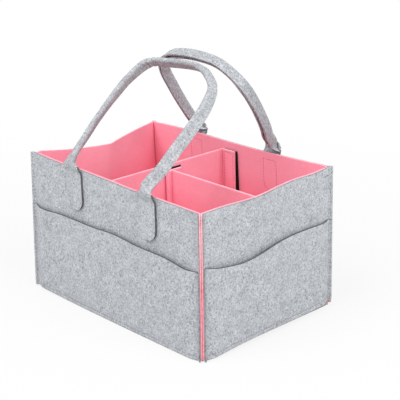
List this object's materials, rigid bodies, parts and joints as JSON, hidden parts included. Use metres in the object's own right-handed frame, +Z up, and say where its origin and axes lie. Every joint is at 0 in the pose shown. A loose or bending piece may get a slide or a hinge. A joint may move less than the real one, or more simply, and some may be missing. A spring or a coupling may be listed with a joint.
{
  "type": "felt caddy organizer insert",
  "caption": "Open rectangular felt caddy with outside pockets, removable hook-and-loop dividers and carrying handles folded lengthwise.",
  "frame": {"origin": "middle of the underside of the base, on the surface the caddy stands on", "axes": "+X along the long side, away from the end wall that folds inwards; +Y from front to back; +Z up"},
  "size_m": [0.3487, 0.2426, 0.3184],
  "materials": {
    "grey_felt": "light grey melange felt, matte",
    "pink_felt": "smooth pink felt, matte",
    "hook_loop_tape": "black hook and loop tape, matte"
  },
  "bodies": {
    "shell": {"front_panel": "grey_felt", "front_lining": "pink_felt", "right_end_panel": "grey_felt", "right_end_lining": "pink_felt", "back_panel": "grey_felt", "back_lining": "pink_felt", "left_end_panel": "grey_felt", "left_end_lining": "pink_felt", "front_pocket": "grey_felt", "right_end_pocket": "grey_felt", "back_pocket": "grey_felt", "left_end_pocket": "grey_felt", "base_panel": "grey_felt", "base_lining": "pink_felt", "front_tab_left": "grey_felt", "front_tab_right": "grey_felt", "back_tab_right": "grey_felt", "back_tab_left": "grey_felt", "front_wall_loop_tape": "hook_loop_tape", "back_wall_loop_tape": "hook_loop_tape", "right_wall_loop_tape": "hook_loop_tape"},
    "front_handle": {"front_handle_strap": "grey_felt"},
    "back_handle": {"back_handle_strap": "grey_felt"},
    "long_divider": {"long_divider_panel": "pink_felt", "divider_loop_tape": "hook_loop_tape"},
    "short_divider": {"short_divider_panel": "pink_felt"},
    "long_back_flap": {"long_divider_back_flap": "pink_felt", "long_divider_back_flap_hook_tape": "hook_loop_tape"},
    "long_front_flap": {"long_divider_front_flap": "pink_felt", "long_divider_front_flap_hook_tape": "hook_loop_tape"},
    "short_left_flap": {"short_divider_left_flap": "pink_felt", "short_divider_left_flap_hook_tape": "hook_loop_tape"},
    "short_right_flap": {"short_divider_right_flap": "pink_felt", "short_divider_right_flap_hook_tape": "hook_loop_tape"}
  },
  "joints": [
    {"name": "front_handle_fold", "type": "hinge", "parent": "shell", "child": "front_handle", "pos_m": [0.00145, -0.11403, 0.189], "axis": [0.999, -0.0447, 0], "range_deg": [0, 155]},
    {"name": "back_handle_fold", "type": "hinge", "parent": "shell", "child": "back_handle", "pos_m": [-0.00802, 0.11527, 0.189], "axis": [-1, 0.0077, 0], "range_deg": [0, 155]},
    {"name": "long_divider_lift", "type": "slide", "parent": "shell", "child": "long_divider", "axis": [0, 0, 1], "range_m": [0, 0.1]},
    {"name": "short_divider_lift", "type": "slide", "parent": "shell", "child": "short_divider", "axis": [0, 0, 1], "range_m": [0, 0.1]},
    {"name": "long_back_flap_fold", "type": "hinge", "parent": "long_divider", "child": "long_back_flap", "pos_m": [-0.0132, 0.09703, 0.09], "axis": [0, 0, -1], "range_deg": [0, 80]},
    {"name": "long_front_flap_fold", "type": "hinge", "parent": "long_divider", "child": "long_front_flap", "pos_m": [-0.02106, -0.09648, 0.09], "axis": [0, 0, 1], "range_deg": [0, 80]},
    {"name": "short_left_flap_fold", "type": "hinge", "parent": "short_divider", "child": "short_left_flap", "pos_m": [-0.01151, 0.0048, 0.09], "axis": [0, 0, -1], "range_deg": [0, 80]},
    {"name": "short_right_flap_fold", "type": "hinge", "parent": "short_divider", "child": "short_right_flap", "pos_m": [0.15337, 0.0048, 0.09], "axis": [0, 0, 1], "range_deg": [0, 80]}
  ]
}
